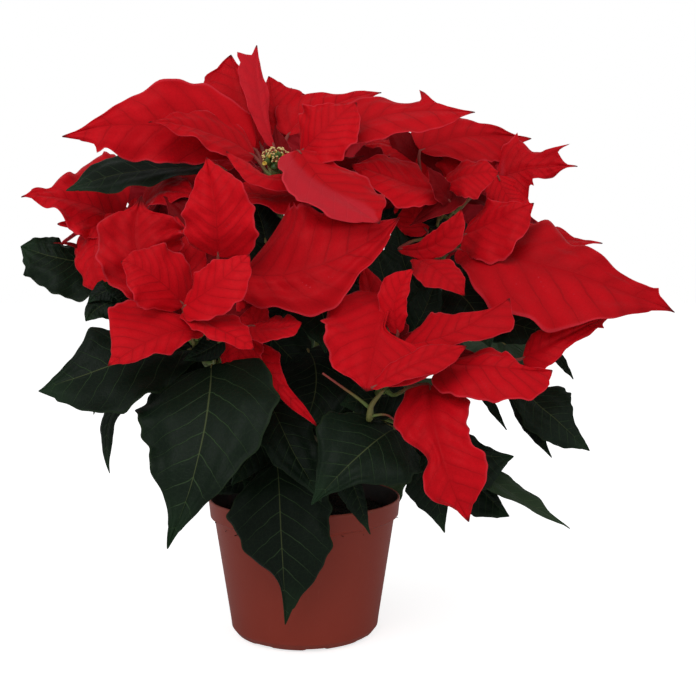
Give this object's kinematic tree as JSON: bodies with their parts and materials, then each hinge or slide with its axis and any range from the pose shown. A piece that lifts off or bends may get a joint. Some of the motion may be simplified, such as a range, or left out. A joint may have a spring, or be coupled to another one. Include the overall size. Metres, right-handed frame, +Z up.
{
  "type": "potted poinsettia",
  "caption": "Bushy poinsettia with red bract rosettes over dark green leaves, growing in a tapered plastic nursery pot.",
  "frame": {"origin": "middle of the pot's flat underside pad, on the surface the pot stands on", "axes": "+Z up along the pot's axis, -Y towards the front of the plant, +X to the viewer's right"},
  "size_m": [0.4065, 0.328, 0.3923],
  "materials": {
    "pot": "satin moulded plastic, brick brown",
    "soil": "loose dark peat with fibres",
    "stem": "smooth green bark, pink-tinged stalks",
    "bract": "velvety red with relief veins",
    "leaf": "satin dark green with pale veins",
    "flower": "waxy yellow-green buds"
  },
  "bodies": {
    "root": {"pot": "pot", "potting_soil": "soil", "main_stem": "stem", "shoot_a": "stem", "shoot_b": "stem", "shoot_c": "stem", "shoot_d": "stem", "shoot_f": "stem", "shoot_g": "stem", "shoot_h": "stem", "shoot_i": "stem", "bract_a1": "bract", "bract_a3": "bract", "bract_a4": "bract", "bract_a6": "bract", "bract_a7": "bract", "bract_a8": "bract", "bract_b1": "bract", "bract_b8": "bract", "bract_b9": "bract", "bract_b10": "bract", "bract_b11": "bract", "bract_b12": "bract", "bract_c1": "bract", "bract_c2": "bract", "bract_c3": "bract", "bract_c4": "bract", "bract_c5": "bract", "bract_c6": "bract", "bract_d1": "bract", "bract_d3": "bract", "bract_d4": "bract", "bract_d5": "bract", "bract_d7": "bract", "bract_f1": "bract", "bract_f2": "bract", "bract_g1": "bract", "bract_g2": "bract", "bract_g3": "bract", "bract_g4": "bract", "bract_h1": "bract", "bract_h2": "bract", "bract_i1": "bract", "bract_i2": "bract", "leaf_a1": "leaf", "leaf_c1": "leaf", "leaf_m1": "leaf", "leaf_d1": "leaf", "leaf_m2": "leaf", "leaf_c2": "leaf", "leaf_d2": "leaf", "leaf_d3": "leaf", "leaf_b1": "leaf", "leaf_f1": "leaf", "leaf_g1": "leaf", "leaf_h1": "leaf", "leaf_i1": "leaf", "leaf_m3": "leaf", "flowers_a": "flower", "flowers_b": "flower"}
  },
  "joints": []
}
